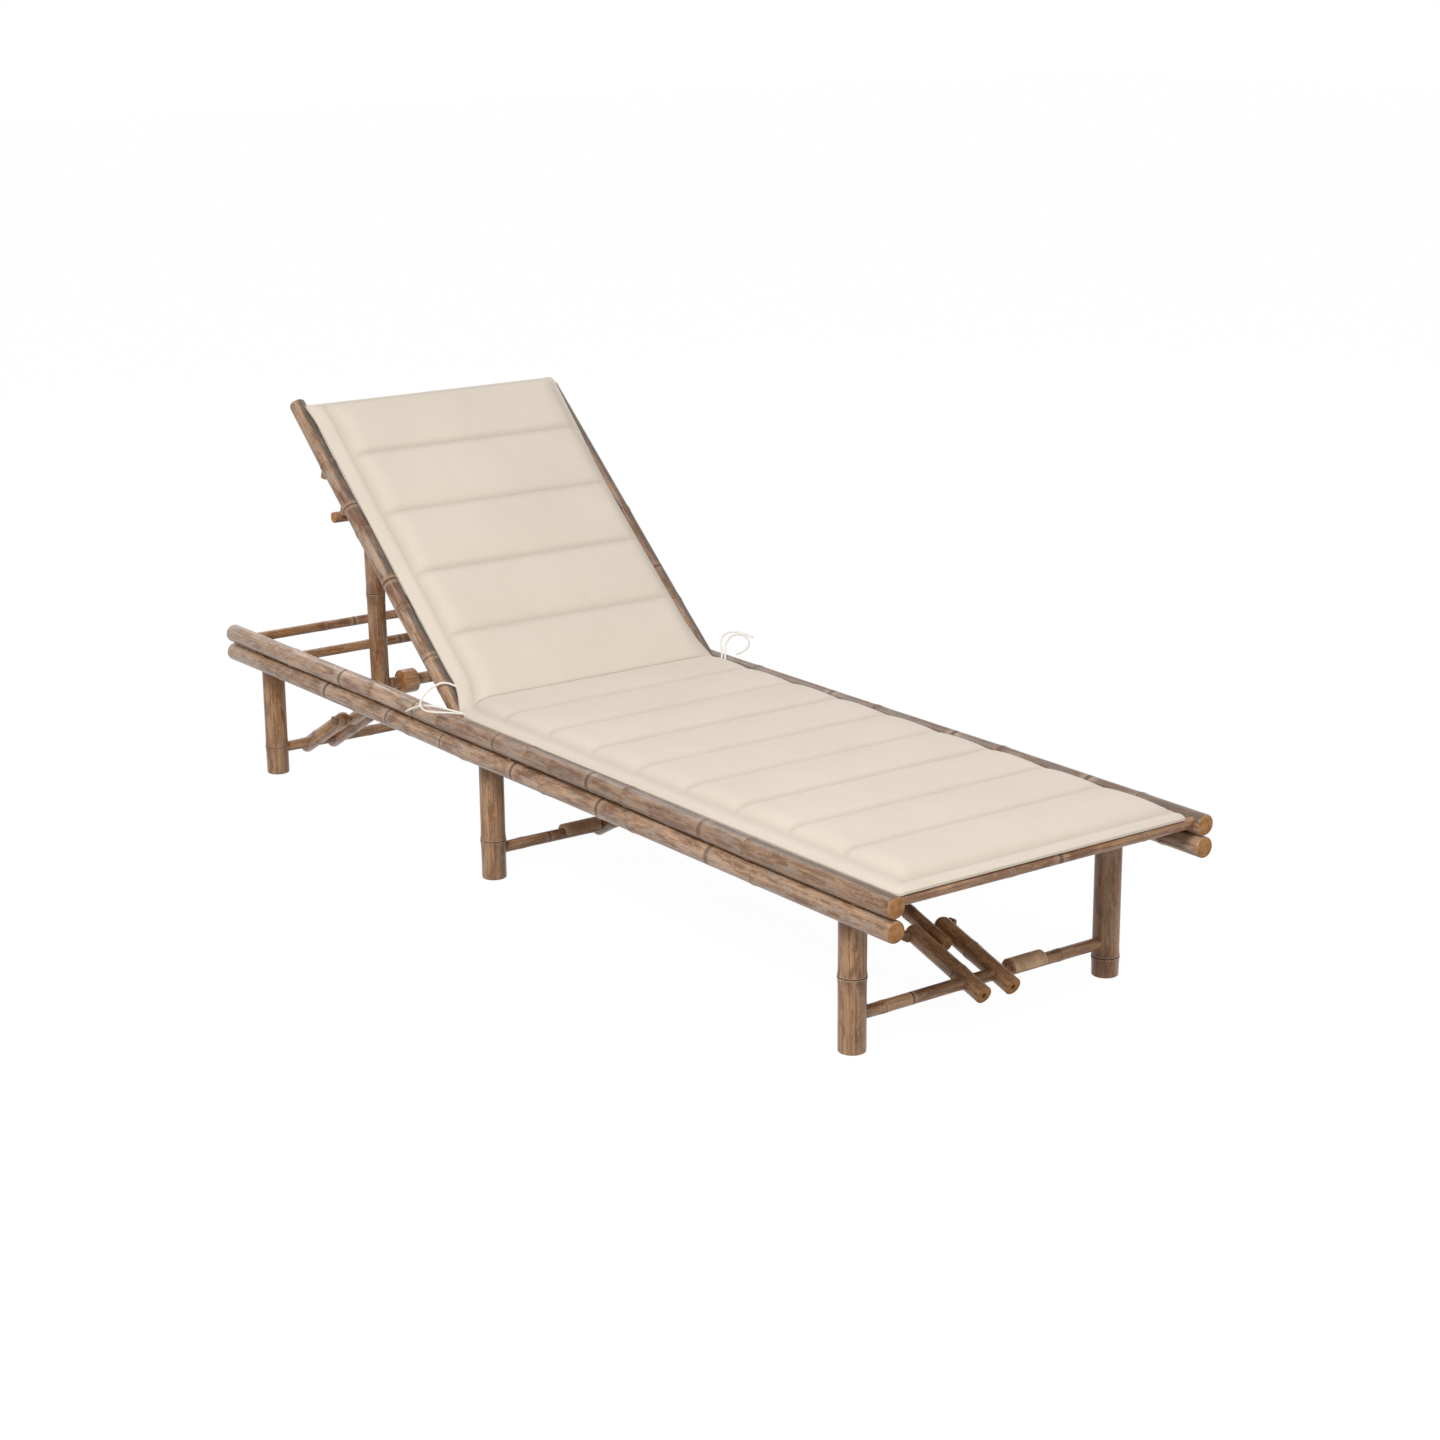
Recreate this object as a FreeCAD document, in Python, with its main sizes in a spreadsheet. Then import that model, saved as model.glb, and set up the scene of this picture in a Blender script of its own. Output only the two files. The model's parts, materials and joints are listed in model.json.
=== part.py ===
import FreeCAD, Part
import math
import os
import re

# A bamboo sun lounger: pole frame, folding legs with knee braces, propped back and quilted pad.
# Millimetres. X runs across, the foot end is at -Y, the head end at +Y, and +Z is up.

SIZES = [
    # side rails
    ("rail_length", 2000), ("rail_radius", 17), ("rail_half_gap", 305),
    ("lower_rail_height", 240), ("rail_clearance", 2),
    ("dowel_radius", 5), ("dowel_depth", 9), ("dowel_end_gap", 90), ("dowel_count", 5),
    # poles between the rails
    ("tenon_depth", 10), ("blind_end_gap", 2),
    ("rung_radius", 10), ("rung_drop", 6), ("first_rung_place", -925), ("rung_pitch", 170),
    ("rung_count", 7),
    ("foot_rail_radius", 9), ("foot_rail_rise", 3), ("foot_rail_place", -982),
    ("rear_pole_radius", 9), ("rear_pole_drop", 3),
    ("inner_rear_pole_place", 770), ("outer_rear_pole_place", 950),
    ("bar_radius", 10), ("bar_drop", 2), ("front_bar_place", -262), ("middle_bar_place", -195),
    ("prop_bar_radius", 11), ("prop_bar_place", 604),
    # split slats
    ("slat_width", 42), ("slat_thickness", 8), ("slat_count", 8), ("slat_pitch", 62),
    ("seat_slat_start", -968), ("seat_slat_end", 185), ("back_slat_start", 36), ("back_slat_end", 700),
    # back frame, along the back from its hinge
    ("hinge_radius", 8), ("hinge_place", 209), ("hinge_drop", 4), ("back_angle", 41),
    ("side_pole_radius", 15), ("side_pole_half_gap", 270), ("side_pole_start", -18),
    ("left_side_pole_end", 731), ("right_side_pole_end", 702),
    ("back_rung_radius", 10), ("first_back_rung_place", 75), ("back_rung_pitch", 190),
    ("back_rung_count", 3),
    ("top_bar_radius", 11), ("top_bar_place", 684), ("back_tenon_depth", 8),
    ("peg_radius", 8), ("peg_lean", 23), ("peg_reach", 33.7), ("peg_root", 6),
    ("first_peg_place", 504), ("peg_pitch", 87), ("peg_count", 2),
    # prop
    ("prop_pole_radius", 17), ("prop_half_gap", 207),
    ("prop_rod_radius", 10), ("prop_rod_half_length", 285),
    ("prop_rod_place", 497.2), ("prop_rod_gap", 20.3), ("prop_foot_reach", 24), ("prop_top_reach", 19),
    # legs
    ("leg_radius", 21.5), ("leg_half_gap", 256), ("leg_hinge_drop", 4), ("leg_top_reach", 20),
    ("front_leg_place", -844), ("middle_leg_place", 142), ("rear_leg_place", 938),
    ("leg_pin_radius", 7), ("leg_pin_inner_reach", 12),
    ("stretcher_radius", 10), ("stretcher_tenon_depth", 12),
    ("front_stretcher_height", 55), ("middle_stretcher_height", 50), ("rear_stretcher_height", 48),
    ("clip_wall", 7), ("front_clip_start", 52), ("front_clip_end", 118),
    ("middle_clip_start", -111), ("middle_clip_end", -40),
    # knee braces
    ("cheek_radius", 14.5), ("cheek_spacing", 29.5), ("pith_radius", 4), ("pith_depth", 14),
    ("front_knee_reach", 132), ("middle_knee_reach", 150), ("rear_knee_reach", 150),
    ("front_cheek_tail", 38), ("middle_cheek_tail", 26), ("rear_cheek_tail", 26),
    ("link_radius", 12), ("eye_radius", 17), ("eye_width", 30),
    ("front_link_tail", 50), ("middle_link_tail", 20), ("rear_link_tail", 20),
    ("front_link_place", -1), ("middle_link_place", 8), ("rear_link_place", -150),
    ("knee_pin_radius", 5), ("knee_head_width", 15), ("knee_head_thickness", 6),
    # quilted pad
    ("pad_border", 28), ("pad_edge_thickness", 9), ("pad_seam_thickness", 17),
    ("pad_crown", 27), ("pad_slope", 30),
    ("seat_pad_start", -990), ("seat_pad_end", 190), ("seat_pad_half_width", 285), ("seat_pad_offset", -8),
    ("seat_seam_place", -827), ("seat_seam_pitch", 130), ("seat_seam_count", 8),
    ("back_pad_start", 24), ("back_pad_end", 712), ("back_pad_half_width", 259), ("back_pad_offset", -2.5),
    ("back_seam_place", 156), ("back_seam_pitch", 139), ("back_seam_count", 4),
    # ties
    ("tie_radius", 1.75),
    # clearances
    ("joint_slack", 0.02), ("pivot_slack", 0.05), ("side_gap", 0.3),
]

doc = FreeCAD.newDocument("sun_lounger")
sheet = doc.addObject("Spreadsheet::Sheet", "Sizes")
for row, (alias, number) in enumerate(SIZES, start=1):
    sheet.set(f"A{row}", alias)
    sheet.set(f"B{row}", str(number))
    sheet.setAlias(f"B{row}", alias)
doc.recompute()

NAMES = {alias for alias, number in SIZES}
Vector = FreeCAD.Vector
ACROSS = Vector(1, 0, 0)
ALONG = Vector(0, 1, 0)
UP = Vector(0, 0, 1)
pieces = {}


def size(alias):
    """One cell of the sheet, in millimetres or degrees."""
    return float(sheet.get(alias))


def linked(formula):
    """A formula of cell names, written as the sheet's own cells."""
    words = re.compile(r"[a-z][a-z_]+")
    return words.sub(lambda word: f"Sizes.{word[0]}" if word[0] in NAMES else word[0], formula)


def spaced(first, pitch, count):
    """Evenly spaced places, from the names of three cells."""
    return [size(first) + number * size(pitch) for number in range(int(size(count)))]


def bind(item, field, formula):
    """Tie a field of an object to a formula of cell names."""
    item.setExpression(field, linked(formula))


def sheet_value(formula):
    """The number that a formula of cell names gives."""
    return float(sheet.evalExpression(linked(formula)))


def keep(item, label):
    """Give a finished piece its name."""
    item.Label = label
    pieces[label] = item
    return item


def pole(radius, length, base, towards):
    """A round pole from its base point along a direction."""
    item = doc.addObject("Part::Cylinder", "Pole")
    bind(item, "Radius", radius)
    bind(item, "Height", length)
    item.Placement = FreeCAD.Placement(base, FreeCAD.Rotation(UP, towards))
    return item


def cross_pole(radius, half_length, middle):
    """A pole across the lounger, centred on a point."""
    base = middle - ACROSS * sheet_value(half_length)
    return pole(radius, f"2 * ({half_length})", base, ACROSS)


def ball(radius, centre):
    item = doc.addObject("Part::Sphere", "Ball")
    bind(item, "Radius", radius)
    item.Placement.Base = centre
    return item


def group(items):
    item = doc.addObject("Part::Compound", "Group")
    item.Links = items
    return item


def joined(items):
    item = doc.addObject("Part::MultiFuse", "Joined")
    item.Shapes = items
    return item


def drilled(blank, cutters):
    item = doc.addObject("Part::Cut", "Drilled")
    item.Base = blank
    item.Tool = cutters[0] if len(cutters) == 1 else group(cutters)
    return item


# Places that several pieces share

RAIL_REACH = "rail_half_gap - rail_radius + tenon_depth"
RAIL_HOLE = RAIL_REACH + " + blind_end_gap"
STRETCHER_REACH = "leg_half_gap - leg_radius + stretcher_tenon_depth"
STRETCHER_HOLE = STRETCHER_REACH + " + blind_end_gap"
LEG_HINGE_HEIGHT = "lower_rail_height - leg_hinge_drop"
lower_rail_height = size("lower_rail_height")
upper_rail_height = lower_rail_height + 2 * size("rail_radius") + size("rail_clearance")
rung_height = upper_rail_height - size("rung_drop")
rear_pole_height = upper_rail_height - size("rear_pole_drop")
bar_height = lower_rail_height - size("bar_drop")
leg_hinge_height = sheet_value(LEG_HINGE_HEIGHT)
hinge_point = Vector(0, size("hinge_place"), upper_rail_height - size("hinge_drop"))
back_turn = math.radians(size("back_angle"))
back_along = Vector(0, math.cos(back_turn), math.sin(back_turn))
back_out = Vector(0, -math.sin(back_turn), math.cos(back_turn))
back_frame = FreeCAD.Placement(hinge_point, FreeCAD.Rotation(ACROSS, size("back_angle")))
prop_foot = Vector(0, size("prop_bar_place"), bar_height)
prop_rod_drop = size("side_pole_radius") + size("prop_rod_radius") + size("prop_rod_gap")
prop_head = hinge_point + back_along * size("prop_rod_place") - back_out * prop_rod_drop
prop_along = (prop_head - prop_foot).normalize()

rung_places = spaced("first_rung_place", "rung_pitch", "rung_count")
rung_middles = [Vector(0, place, rung_height) for place in rung_places]
foot_rail_middle = Vector(0, size("foot_rail_place"), upper_rail_height + size("foot_rail_rise"))
inner_pole_middle = Vector(0, size("inner_rear_pole_place"), rear_pole_height)
outer_pole_middle = Vector(0, size("outer_rear_pole_place"), rear_pole_height)
front_bar_middle = Vector(0, size("front_bar_place"), bar_height)
middle_bar_middle = Vector(0, size("middle_bar_place"), bar_height)

upper_sockets = [("rung_radius", middle) for middle in rung_middles]
upper_sockets += [("foot_rail_radius", foot_rail_middle), ("hinge_radius", hinge_point)]
upper_sockets += [("rear_pole_radius", inner_pole_middle), ("rear_pole_radius", outer_pole_middle)]
lower_sockets = [("bar_radius", front_bar_middle), ("bar_radius", middle_bar_middle)]
lower_sockets.append(("prop_bar_radius", prop_foot))
leg_places = {name: size(name + "_leg_place") for name in ("front", "middle", "rear")}
lower_sockets += [("leg_pin_radius", Vector(0, place, leg_hinge_height)) for place in leg_places.values()]

dowel_run = size("rail_length") - 2 * size("dowel_end_gap")
dowel_count = int(size("dowel_count"))
dowel_places = [dowel_run * (number / (dowel_count - 1) - 1 / 2) for number in range(dowel_count)]
DOWEL_LENGTH = "rail_clearance + 2 * dowel_depth"


def dowel(radius, side, place):
    """A short upright dowel between the two rails of a side."""
    foot = lower_rail_height + size("rail_radius") - size("dowel_depth")
    base = Vector(side * size("rail_half_gap"), place, foot)
    return pole(radius, DOWEL_LENGTH, base, UP)


def make_rails():
    """Two poles on each side, with sockets for what crosses between them and for the dowels."""
    for side, side_name in ((-1, "left"), (1, "right")):
        levels = (("upper", upper_rail_height, upper_sockets), ("lower", lower_rail_height, lower_sockets))
        for level, height, sockets in levels:
            base = Vector(side * size("rail_half_gap"), -size("rail_length") / 2, height)
            blank = pole("rail_radius", "rail_length", base, ALONG)
            cutters = [cross_pole(radius + " + joint_slack", RAIL_HOLE, spot) for radius, spot in sockets]
            cutters += [dowel("dowel_radius + joint_slack", side, place) for place in dowel_places]
            keep(drilled(blank, cutters), f"{level}_rail_{side_name}")
    dowels = [dowel("dowel_radius", side, place) for side in (-1, 1) for place in dowel_places]
    keep(group(dowels), "rail_dowels")


def make_cross_poles():
    """What crosses between the rails."""
    keep(group([cross_pole("rung_radius", RAIL_REACH, middle) for middle in rung_middles]), "seat_rungs")
    keep(cross_pole("foot_rail_radius", RAIL_REACH, foot_rail_middle), "foot_cross_rail")
    keep(cross_pole("rear_pole_radius", RAIL_REACH, inner_pole_middle), "inner_rear_pole")
    keep(cross_pole("rear_pole_radius", RAIL_REACH, outer_pole_middle), "outer_rear_pole")
    keep(cross_pole("hinge_radius", RAIL_REACH, hinge_point), "back_hinge_rod")
    keep(cross_pole("bar_radius", RAIL_REACH, front_bar_middle), "front_brace_bar")
    keep(cross_pole("bar_radius", RAIL_REACH, middle_bar_middle), "middle_brace_bar")
    keep(cross_pole("prop_bar_radius", RAIL_REACH, prop_foot), "prop_bar")


def slat_body(label, start, end, count, frame):
    """Split slats with a crowned top and a flat underside, side by side along +Y of a frame."""
    body = doc.addObject("PartDesign::Body", label + "_body")
    plane = next(item for item in body.Origin.OriginFeatures if item.Role == "XZ_Plane")
    sketch = body.newObject("Sketcher::SketchObject", label + "_section")
    sketch.AttachmentSupport = [(plane, "")]
    sketch.MapMode = "FlatFace"
    half = size("slat_width") / 2
    rise = size("slat_thickness")
    sketch.addGeometry(Part.LineSegment(Vector(-half, 0, 0), Vector(half, 0, 0)))
    sketch.addGeometry(Part.Arc(Vector(half, 0, 0), Vector(0, rise, 0), Vector(-half, 0, 0)))
    doc.recompute()
    pad = body.newObject("PartDesign::Pad", label + "_length")
    pad.Profile = sketch
    bind(pad, "Length", f"{end} - ({start})")
    pad.Reversed = True
    body.Tip = pad
    doc.recompute()
    slats = []
    for number in range(count):
        place = (number - (count - 1) / 2) * size("slat_pitch")
        copy = doc.addObject("Part::Feature", label)
        copy.Shape = body.Shape
        copy.Placement = frame * FreeCAD.Placement(Vector(place, size(start), 0), FreeCAD.Rotation())
        slats.append(copy)
    return keep(group(slats), label)


def make_slats():
    count = int(size("slat_count"))
    seat_frame = FreeCAD.Placement(Vector(0, 0, rung_height + size("rung_radius")), FreeCAD.Rotation())
    slat_body("seat_slats", "seat_slat_start", "seat_slat_end", count, seat_frame)
    lift = FreeCAD.Placement(Vector(0, 0, size("back_rung_radius")), FreeCAD.Rotation())
    slat_body("back_slats", "back_slat_start", "back_slat_end", count, back_frame * lift)


def on_back(across, along, out=0.0):
    """A point given across, along the back from its hinge, and out of its face."""
    return hinge_point + ACROSS * across + back_along * along + back_out * out


BACK_REACH = "side_pole_half_gap - side_pole_radius + back_tenon_depth"
top_bar_drop = size("top_bar_radius") - size("back_rung_radius")
back_sockets = [("top_bar_radius", on_back(0, size("top_bar_place"), -top_bar_drop))]
for rung_place in spaced("first_back_rung_place", "back_rung_pitch", "back_rung_count"):
    back_sockets.append(("back_rung_radius", on_back(0, rung_place)))


def peg(radius, side, place):
    """A peg that leans down the back from under a side pole."""
    lean = math.radians(size("peg_lean"))
    towards = back_out * -math.cos(lean) - back_along * math.sin(lean)
    root = on_back(side * size("side_pole_half_gap"), place)
    return pole(radius, "peg_reach - peg_root", root + towards * size("peg_root"), towards)


def make_back():
    """Side poles with their pegs, the rungs between them and the top bar."""
    peg_places = spaced("first_peg_place", "peg_pitch", "peg_count")
    for side, side_name in ((-1, "left"), (1, "right")):
        base = on_back(side * size("side_pole_half_gap"), size("side_pole_start"))
        blank = pole("side_pole_radius", f"{side_name}_side_pole_end - side_pole_start", base, back_along)
        cutters = [cross_pole(radius + " + joint_slack", BACK_REACH, spot) for radius, spot in back_sockets]
        cutters.append(cross_pole("hinge_radius + pivot_slack", RAIL_REACH, hinge_point))
        cutters += [peg("peg_radius + joint_slack", side, place) for place in peg_places]
        keep(drilled(blank, cutters), f"back_side_pole_{side_name}")
        keep(group([peg("peg_radius", side, place) for place in peg_places]), f"back_pegs_{side_name}")
    keep(cross_pole("top_bar_radius", BACK_REACH, back_sockets[0][1]), "back_top_bar")
    rungs = [cross_pole(radius, BACK_REACH, middle) for radius, middle in back_sockets[1:]]
    keep(group(rungs), "back_rungs")


def make_prop():
    """Two stout poles that swing on the prop bar and carry the rod under the pegs."""
    rod_hole = cross_pole("prop_rod_radius + joint_slack", "prop_rod_half_length", prop_head)
    for side, side_name in ((-1, "left"), (1, "right")):
        base = prop_foot + ACROSS * side * size("prop_half_gap") - prop_along * size("prop_foot_reach")
        reach = (prop_head - prop_foot).Length
        blank = pole("prop_pole_radius", f"{reach} + prop_foot_reach + prop_top_reach", base, prop_along)
        pivot_hole = cross_pole("prop_bar_radius + pivot_slack", RAIL_REACH, prop_foot)
        keep(drilled(blank, [pivot_hole, rod_hole]), f"prop_pole_{side_name}")
    keep(cross_pole("prop_rod_radius", "prop_rod_half_length", prop_head), "prop_rod")


def make_legs():
    """Three pairs of legs, each with its stretcher and its hinge pins in the lower rails."""
    pins = []
    for name, place in leg_places.items():
        hinge = Vector(0, place, leg_hinge_height)
        stretcher_middle = Vector(0, place, size(name + "_stretcher_height"))
        for side, side_name in ((-1, "left"), (1, "right")):
            base = Vector(side * size("leg_half_gap"), place, 0)
            blank = pole("leg_radius", LEG_HINGE_HEIGHT + " + leg_top_reach", base, UP)
            pin_hole = cross_pole("leg_pin_radius + pivot_slack", RAIL_REACH, hinge)
            socket = cross_pole("stretcher_radius + joint_slack", STRETCHER_HOLE, stretcher_middle)
            keep(drilled(blank, [pin_hole, socket]), f"{name}_leg_{side_name}")
            pin_start = size("leg_half_gap") - size("leg_radius") - size("leg_pin_inner_reach")
            length = f"{RAIL_REACH} - (leg_half_gap - leg_radius - leg_pin_inner_reach)"
            pins.append(pole("leg_pin_radius", length, hinge + ACROSS * side * pin_start, ACROSS * side))
        keep(cross_pole("stretcher_radius", STRETCHER_REACH, stretcher_middle), f"{name}_stretcher")
    keep(group(pins), "leg_hinge_pins")


def make_clip(name):
    """A saddle of split bamboo on top of a stretcher, which keeps the brace in its place."""
    body = doc.addObject("PartDesign::Body", name + "_clip_body")
    plane = next(item for item in body.Origin.OriginFeatures if item.Role == "YZ_Plane")
    sketch = body.newObject("Sketcher::SketchObject", name + "_clip_section")
    sketch.AttachmentSupport = [(plane, "")]
    sketch.MapMode = "FlatFace"
    inner = size("stretcher_radius") + size("joint_slack")
    outer = inner + size("clip_wall")
    sketch.addGeometry(Part.Arc(Vector(outer, 0, 0), Vector(0, outer, 0), Vector(-outer, 0, 0)))
    sketch.addGeometry(Part.LineSegment(Vector(-outer, 0, 0), Vector(-inner, 0, 0)))
    sketch.addGeometry(Part.Arc(Vector(-inner, 0, 0), Vector(0, inner, 0), Vector(inner, 0, 0)))
    sketch.addGeometry(Part.LineSegment(Vector(inner, 0, 0), Vector(outer, 0, 0)))
    doc.recompute()
    pad = body.newObject("PartDesign::Pad", name + "_clip_length")
    pad.Profile = sketch
    bind(pad, "Length", f"{name}_clip_end - ({name}_clip_start)")
    body.Tip = pad
    height = size(name + "_stretcher_height")
    body.Placement.Base = Vector(size(name + "_clip_start"), leg_places[name], height)
    keep(body, name + "_stretcher_clip")


def make_brace(name, bar_middle, bar_radius):
    """Two cheeks on the stretcher, a link between them up to its bar, and the pins of the knee."""
    foot = Vector(0, leg_places[name], size(name + "_stretcher_height"))
    along = (bar_middle - foot).normalize()
    knee = foot + along * size(name + "_knee_reach")
    link_middle = ACROSS * size(name + "_link_place")
    stubs = []
    for side, side_name in ((-1, "left"), (1, "right")):
        shift = link_middle + ACROSS * side * size("cheek_spacing")
        tail = foot + shift - along * size(name + "_cheek_tail")
        stick = pole("cheek_radius", f"{name}_knee_reach + {name}_cheek_tail", tail, along)
        blank = joined([stick, ball("cheek_radius", knee + shift)])
        stretcher_hole = cross_pole("stretcher_radius + pivot_slack", STRETCHER_REACH, foot)
        pin_hole = cross_pole("knee_pin_radius + joint_slack", STRETCHER_REACH, knee)
        pith = pole("pith_radius", "pith_depth", tail, along)
        keep(drilled(blank, [stretcher_hole, pin_hole, pith]), f"{name}_brace_cheek_{side_name}")
        inner = size("cheek_spacing") - size("cheek_radius")
        outward = ACROSS * side
        shank_start = knee + link_middle + outward * inner
        shank = pole("knee_pin_radius", "2 * cheek_radius", shank_start, outward)
        head = doc.addObject("Part::Box", "Head")
        bind(head, "Length", "knee_head_width")
        bind(head, "Width", "knee_head_width")
        bind(head, "Height", "knee_head_thickness")
        half_head = size("knee_head_width") / 2
        corner = Vector(-half_head, -half_head, inner + 2 * size("cheek_radius"))
        turn = FreeCAD.Placement(knee + link_middle, FreeCAD.Rotation(UP, outward))
        head.Placement = turn * FreeCAD.Placement(corner, FreeCAD.Rotation())
        stubs.append(joined([shank, head]))
    keep(group(stubs), f"{name}_knee_pins")
    reach = (bar_middle - knee).Length
    tail = knee + link_middle - along * size(name + "_link_tail")
    stick = pole("link_radius", f"{reach} + {name}_link_tail", tail, along)
    eye = pole("eye_radius", "eye_width", bar_middle + link_middle - ACROSS * size("eye_width") / 2, ACROSS)
    bar_hole = cross_pole(bar_radius + " + pivot_slack", STRETCHER_REACH, bar_middle)
    core_hole = cross_pole("knee_pin_radius + joint_slack", STRETCHER_REACH, knee)
    keep(drilled(joined([stick, eye]), [bar_hole, core_hole]), f"{name}_brace_link")
    core_start = knee + link_middle - ACROSS * (size("link_radius") - size("side_gap"))
    keep(pole("knee_pin_radius", "2 * (link_radius - side_gap)", core_start, ACROSS), f"{name}_knee_core")


# Thickness along a pad at its ends, its seams and its crowns, as shares of the edge's thickness
PAD_RIM_SHARES = (0.6, 0.6, 0.7)
PAD_BORDER_SHARES = (1, 1, 1.2)
PAD_RISEN_SHARE = 0.75


def pad_section(across, start, end, seams, heights):
    """One lengthwise section of a pad: flat below, with an arc over each channel."""
    edge, seam, crown = heights
    flat_start, flat_end = seams[0] > start, seams[-1] < end
    points = [Vector(across, start, 0), Vector(across, start, edge if flat_start else seam)]
    edges = [Part.LineSegment(points[0], points[1])]
    spot = points[1]
    if flat_start:
        following = Vector(across, seams[0], seam)
        edges.append(Part.LineSegment(spot, following))
        spot = following
    for place, next_place in zip(seams, seams[1:]):
        following = Vector(across, next_place, seam)
        edges.append(Part.Arc(spot, Vector(across, (place + next_place) / 2, crown), following))
        spot = following
    if flat_end:
        following = Vector(across, end, edge)
        edges.append(Part.LineSegment(spot, following))
        spot = following
    corner = Vector(across, end, 0)
    edges.append(Part.LineSegment(spot, corner))
    edges.append(Part.LineSegment(corner, points[0]))
    return Part.Wire([line.toShape() for line in edges])


def quilted_pad(label, kind, seams, frame):
    """A pad with sewn channels, low along its sewn border and crowned between the seams."""
    half = size(kind + "_pad_half_width")
    edge = size("pad_edge_thickness")
    seam = size("pad_seam_thickness")
    crown = size("pad_crown")
    border = size("pad_border")
    slope = size("pad_slope")
    low = [edge * share for share in PAD_RIM_SHARES]
    sewn = [edge * share for share in PAD_BORDER_SHARES]
    risen = (edge, (edge + seam) / 2, seam + (crown - seam) * PAD_RISEN_SHARE)
    full = (edge, seam, crown)
    stations = [(0, low), (border / 4, sewn), (border, sewn)]
    stations += [(border + slope / 2, risen), (border + slope, full)]
    start = size(kind + "_pad_start")
    end = size(kind + "_pad_end")
    stops = [(inset - half, heights) for inset, heights in stations]
    stops += [(half - inset, heights) for inset, heights in reversed(stations)]
    wires = [pad_section(across, start, end, seams, heights) for across, heights in stops]
    item = doc.addObject("Part::Feature", label)
    item.Shape = Part.makeLoft(wires, True, True)
    item.Placement = frame * FreeCAD.Placement(Vector(size(kind + "_pad_offset"), 0, 0), FreeCAD.Rotation())
    keep(item, label)


def make_pads():
    """The pad lies on the seat slats and on the back slats and folds at the hinge."""
    seat_height = rung_height + size("rung_radius") + size("slat_thickness") + size("side_gap")
    seat_frame = FreeCAD.Placement(Vector(0, 0, seat_height), FreeCAD.Rotation())
    seams = [size("seat_pad_start") + size("pad_border")]
    seams += spaced("seat_seam_place", "seat_seam_pitch", "seat_seam_count")
    quilted_pad("seat_pad", "seat", seams + [size("seat_pad_end")], seat_frame)
    lift = Vector(0, 0, size("back_rung_radius") + size("slat_thickness") + size("side_gap"))
    seams = [size("back_pad_start")]
    seams += spaced("back_seam_place", "back_seam_pitch", "back_seam_count")
    seams.append(size("back_pad_end") - size("pad_border"))
    quilted_pad("back_pad", "back", seams, back_frame * FreeCAD.Placement(lift, FreeCAD.Rotation()))


# The routes of the four tie strings, each from the pad's corner at the fold

TIE_ROUTES = {
    "left_tie_tail": [
        (-294.5, 181, 292.2), (-304, 194, 298), (-312, 218, 300), (-320, 246, 298), (-328, 272, 291),
        (-331, 296, 278),
    ],
    "left_tie_loop": [
        (-293.9, 170, 292.2), (-308, 168, 299), (-326, 174, 302), (-339, 194, 300), (-342, 220, 299),
        (-334, 244, 303),
        (-317, 260, 312), (-300, 260, 323), (-286, 250, 332), (-274, 241, 331), (-262.6, 236, 323.3),
    ],
    "right_tie_tail": [
        (278.7, 181, 292), (284, 194, 303), (290, 208, 320), (302, 206, 334), (318, 186, 336),
        (332, 162, 328),
    ],
    "right_tie_curl": [
        (278.7, 171, 292), (285, 186, 301), (294, 197, 314), (304, 196, 328), (316, 183, 333),
        (325, 168, 326),
        (324, 163, 313), (314, 168, 302), (301, 174, 298),
    ],
}


# How much of each straight run a bend takes up
TIE_BEND_SHARE = 0.45


def tie_tube(label, route):
    """A thin round string along straight runs joined by tangent arcs."""
    corners = [Vector(*point) for point in route]
    radius = size("tie_radius")
    edges = []
    bends = []
    spot = corners[0]
    for before, corner, after in zip(corners, corners[1:], corners[2:]):
        back = (before - corner).normalize()
        onward = (after - corner).normalize()
        cut = TIE_BEND_SHARE * min((before - corner).Length, (after - corner).Length)
        half_turn = (math.pi - back.getAngle(onward)) / 2
        bends.append(cut / math.tan(half_turn))
        arc_start = corner + back * cut
        arc_end = corner + onward * cut
        centre = corner + (back + onward).normalize() * (bends[-1] / math.cos(half_turn))
        arc_middle = centre + (corner - centre).normalize() * bends[-1]
        edges.append(Part.LineSegment(spot, arc_start).toShape())
        edges.append(Part.Arc(arc_start, arc_middle, arc_end).toShape())
        spot = arc_end
    edges.append(Part.LineSegment(spot, corners[-1]).toShape())
    path = Part.Wire(edges)
    mouth = Part.Wire([Part.Circle(corners[0], corners[1] - corners[0], radius).toShape()])
    item = doc.addObject("Part::Feature", label)
    item.Shape = path.makePipeShell([mouth], True, False)
    share = item.Shape.Volume / (math.pi * radius ** 2 * path.Length)
    print(label, "length", round(path.Length, 1), "least radius", round(min(bends), 1))
    print(label, "volume share", round(share, 4))
    keep(item, label)


make_rails()
make_cross_poles()
make_slats()
make_back()
make_prop()
make_legs()
make_clip("front")
make_clip("middle")
make_brace("front", front_bar_middle, "bar_radius")
make_brace("middle", middle_bar_middle, "bar_radius")
make_brace("rear", prop_foot, "prop_bar_radius")
make_pads()
for label, route in TIE_ROUTES.items():
    tie_tube(label, route)
doc.recompute()

for item in doc.Objects:
    if "Invalid" in item.State or "Error" in item.State:
        raise RuntimeError(f"{item.Label} did not build: {item.State}")
for label, item in pieces.items():
    if item.Shape.isNull() or not item.Shape.isValid():
        raise RuntimeError(f"{label} has no valid shape")
os.makedirs("parts", exist_ok=True)
for label, item in pieces.items():
    item.Shape.exportStep(f"parts/{label}.step")
    print(label, len(item.Shape.Solids), round(item.Shape.Volume / 1000, 1))
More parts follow.
